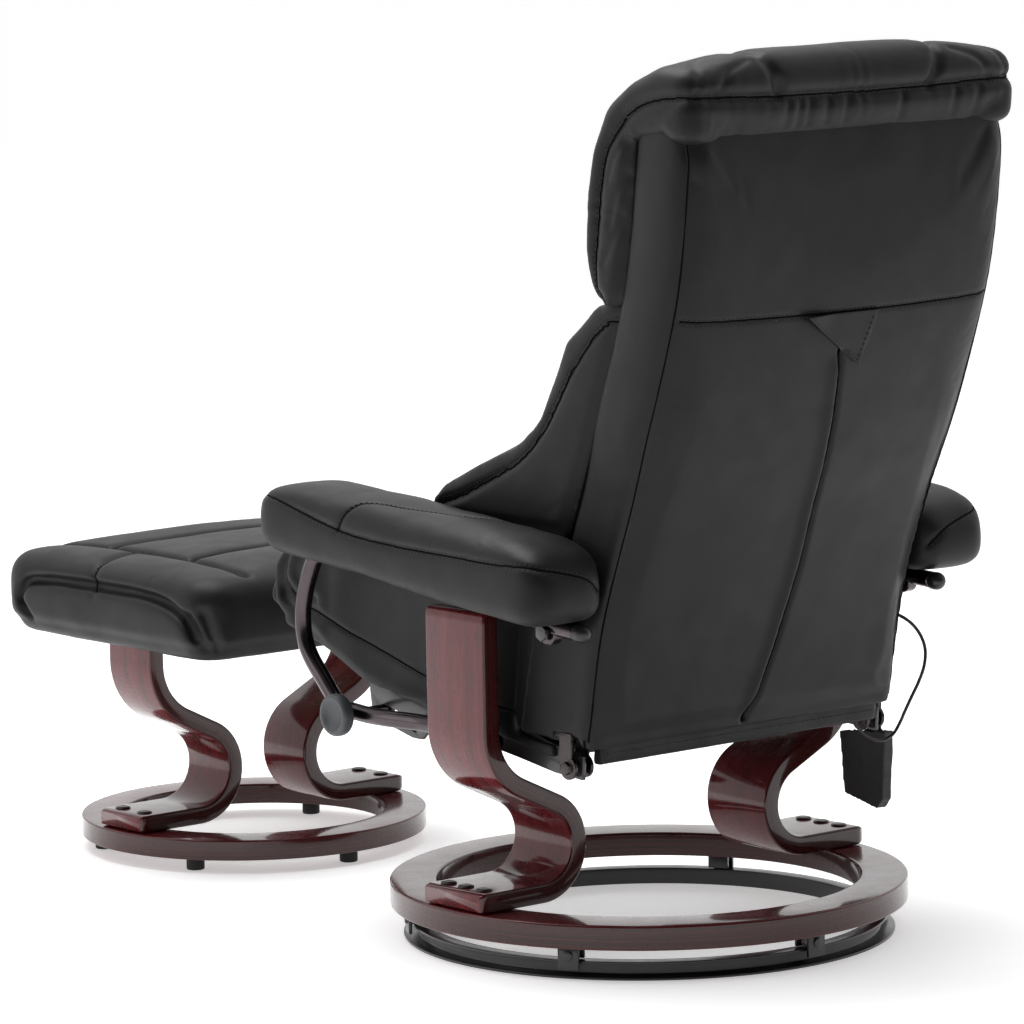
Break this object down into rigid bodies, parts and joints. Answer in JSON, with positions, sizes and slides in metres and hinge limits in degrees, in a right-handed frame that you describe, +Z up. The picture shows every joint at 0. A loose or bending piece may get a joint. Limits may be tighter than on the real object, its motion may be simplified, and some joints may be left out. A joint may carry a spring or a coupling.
{
  "type": "reclining swivel massage chair with footstool",
  "caption": "Padded recliner on bent-ply legs and a swivel ring base, with a gliding seat, vibration motors and a matching footstool.",
  "frame": {"origin": "on the floor, at the bottom centre of the bounding box of the chair and its footstool", "axes": "+Z up, the chair faces -Y, +X is the sitter's left"},
  "size_m": [0.684, 1.301, 1.008],
  "materials": {
    "black_leather": "semi-matt, fine pebble grain, stitched",
    "lacquered_wood": "mahogany stain under gloss lacquer",
    "black_steel": "satin black powder coat",
    "gunmetal_tube": "dark gloss, black chrome",
    "grey_plastic": "fine moulded texture",
    "black_plastic": "smooth moulded",
    "roller_plastic": "turned nylon",
    "foot_rubber": "matt",
    "lead_sheath": "smooth round sheath",
    "pouch_fabric": "coated woven cloth with bound edges",
    "plywood": "raw birch ply",
    "zinc": "zinc plated"
  },
  "bodies": {
    "floor_ring": {"floor_ring": "black_steel"},
    "swivel_frame": {"wood_ring": "lacquered_wood", "ring_bracket_1": "black_steel", "ring_bracket_2": "black_steel", "ring_bracket_3": "black_steel", "ring_bracket_4": "black_steel", "ring_bracket_5": "black_steel", "ring_bracket_6": "black_steel", "leg_left": "lacquered_wood", "leg_right": "lacquered_wood", "side_tube_left": "gunmetal_tube", "side_tube_right": "gunmetal_tube", "tube_end_left": "black_plastic", "tube_end_right": "black_plastic", "armrest_left": "black_leather", "armrest_right": "black_leather", "pouch": "pouch_fabric", "hand_control": "black_plastic", "control_lead": "lead_sheath"},
    "back": {"back_panel": "black_leather", "back_bolster_left": "black_leather", "back_bolster_right": "black_leather", "back_upright_left": "black_steel", "back_upright_right": "black_steel", "back_crossbar_low": "black_steel", "back_crossbar_high": "black_steel", "head_cushion": "black_leather", "lumbar_cushion": "black_leather", "motor_lumbar": "zinc", "motor_shoulder": "zinc"},
    "seat": {"seat_cushion": "black_leather", "seat_rail_left": "black_steel", "seat_rail_right": "black_steel", "seat_bar_front": "black_steel", "seat_bar_rear": "black_steel", "motor_seat": "zinc", "control_box": "black_plastic"},
    "hand_wheel": {"hand_wheel": "grey_plastic"},
    "footstool": {"stool_ring": "lacquered_wood", "stool_leg_left": "lacquered_wood", "stool_leg_right": "lacquered_wood", "stool_board": "plywood", "stool_cushion": "black_leather", "stool_foot_1": "foot_rubber", "stool_foot_2": "foot_rubber", "stool_foot_3": "foot_rubber", "stool_foot_4": "foot_rubber", "stool_foot_5": "foot_rubber", "stool_foot_6": "foot_rubber"},
    "weight_lumbar": {"motor_weight_lumbar": "zinc"},
    "weight_shoulder": {"motor_weight_shoulder": "zinc"},
    "weight_seat": {"motor_weight_seat": "zinc"},
    "roller_1": {"roller_1": "roller_plastic"},
    "roller_2": {"roller_2": "roller_plastic"},
    "roller_3": {"roller_3": "roller_plastic"},
    "roller_4": {"roller_4": "roller_plastic"},
    "roller_5": {"roller_5": "roller_plastic"},
    "roller_6": {"roller_6": "roller_plastic"}
  },
  "joints": [
    {"name": "base_swivel", "type": "hinge", "parent": "floor_ring", "child": "swivel_frame", "pos_m": [0, 0.3005, 0], "axis": [0, 0, 1], "continuous": true},
    {"name": "roller_1_spin", "type": "hinge", "parent": "swivel_frame", "child": "roller_1", "pos_m": [0.23184, 0.43435, 0.02565], "axis": [0.866, 0.5, 0], "continuous": true},
    {"name": "roller_2_spin", "type": "hinge", "parent": "swivel_frame", "child": "roller_2", "pos_m": [0, 0.5682, 0.02565], "axis": [0, 1, 0], "continuous": true},
    {"name": "roller_3_spin", "type": "hinge", "parent": "swivel_frame", "child": "roller_3", "pos_m": [-0.23184, 0.43435, 0.02565], "axis": [-0.866, 0.5, 0], "continuous": true},
    {"name": "roller_4_spin", "type": "hinge", "parent": "swivel_frame", "child": "roller_4", "pos_m": [-0.23184, 0.16665, 0.02565], "axis": [-0.866, -0.5, 0], "continuous": true},
    {"name": "roller_5_spin", "type": "hinge", "parent": "swivel_frame", "child": "roller_5", "pos_m": [0, 0.0328, 0.02565], "axis": [0, -1, 0], "continuous": true},
    {"name": "roller_6_spin", "type": "hinge", "parent": "swivel_frame", "child": "roller_6", "pos_m": [0.23184, 0.16665, 0.02565], "axis": [0.866, -0.5, 0], "continuous": true},
    {"name": "back_recline", "type": "hinge", "parent": "swivel_frame", "child": "back", "pos_m": [0, 0.4485, 0.388], "axis": [-1, 0, 0], "range_deg": [0, 22]},
    {"name": "seat_glide", "type": "hinge", "parent": "back", "child": "seat", "pos_m": [0, 0.434, 0.232], "axis": [-1, 0, 0], "range_deg": [-22, 0]},
    {"name": "hand_wheel_turn", "type": "hinge", "parent": "swivel_frame", "child": "hand_wheel", "pos_m": [0.287, 0.1005, 0.258], "axis": [1, 0, 0], "range_deg": [0, 270]},
    {"name": "stool_slide", "type": "slide", "parent": "floor_ring", "child": "footstool", "axis": [0, -1, 0], "range_m": [0, 0.3]},
    {"name": "weight_lumbar_spin", "type": "hinge", "parent": "back", "child": "weight_lumbar", "pos_m": [0.0275, 0.45719, 0.48962], "axis": [1, 0, 0], "continuous": true},
    {"name": "weight_shoulder_spin", "type": "hinge", "parent": "back", "child": "weight_shoulder", "pos_m": [0.0275, 0.57045, 0.81885], "axis": [1, 0, 0], "continuous": true},
    {"name": "weight_seat_spin", "type": "hinge", "parent": "seat", "child": "weight_seat", "pos_m": [0.0275, 0.1675, 0.284], "axis": [1, 0, 0], "continuous": true}
  ],
  "couplings": [
    {"joint": "roller_1_spin", "follows": "base_swivel", "ratio": -41.185},
    {"joint": "roller_2_spin", "follows": "base_swivel", "ratio": -41.185},
    {"joint": "roller_3_spin", "follows": "base_swivel", "ratio": -41.185},
    {"joint": "roller_4_spin", "follows": "base_swivel", "ratio": -41.185},
    {"joint": "roller_5_spin", "follows": "base_swivel", "ratio": -41.185},
    {"joint": "roller_6_spin", "follows": "base_swivel", "ratio": -41.185},
    {"joint": "seat_glide", "follows": "back_recline", "ratio": -1}
  ]
}
